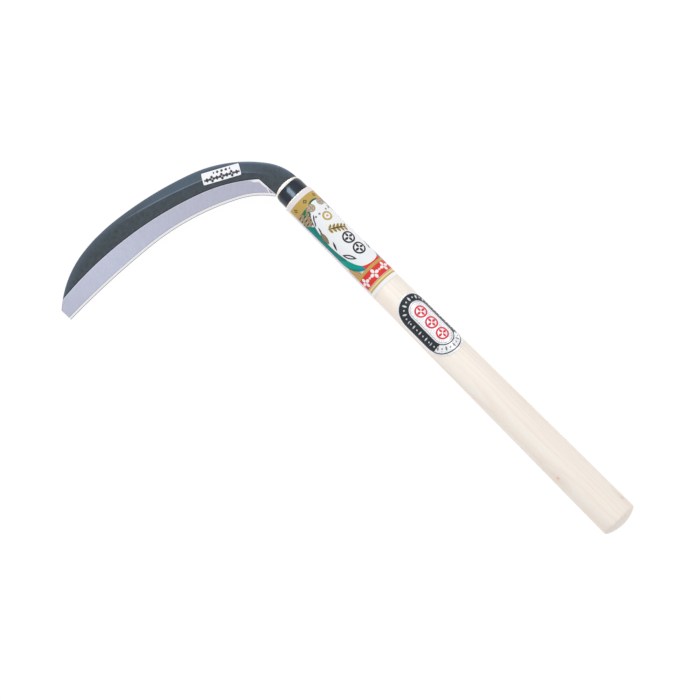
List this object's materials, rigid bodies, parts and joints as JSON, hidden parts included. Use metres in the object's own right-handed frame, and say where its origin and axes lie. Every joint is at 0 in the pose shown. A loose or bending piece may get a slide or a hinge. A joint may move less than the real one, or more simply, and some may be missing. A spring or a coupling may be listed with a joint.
{
  "type": "hand sickle",
  "caption": "Short-handled grass sickle with a curved single-bevel laminated blade, a ferrule and a tapered wooden handle with paper labels.",
  "frame": {"origin": "on the handle's axis, in the plane of the ferrule's front edge", "axes": "+X along the handle towards the butt, -Y the way the blade reaches out, +Z the ground side of the blade"},
  "size_m": [0.433, 0.2021, 0.0296],
  "materials": {
    "forged_iron": "satin blue-grey forge scale on the flat, finely ground bare bevel",
    "edge_steel": "finely ground and honed",
    "handle_wood": "bare pale wood, fine straight grain",
    "ferrule_black": "glossy black",
    "pin_steel": "plain drawn wire",
    "wrap_paper": "glossy printed paper with gold, teal and red bands",
    "oval_foil": "printed silver foil",
    "tag_paper": "printed gloss paper"
  },
  "bodies": {
    "root": {"blade_body": "forged_iron", "edge_steel": "edge_steel", "handle": "handle_wood", "ferrule": "ferrule_black", "tang_pin": "pin_steel", "wrap_label": "wrap_paper", "oval_sticker": "oval_foil", "blade_sticker": "tag_paper"}
  },
  "joints": []
}
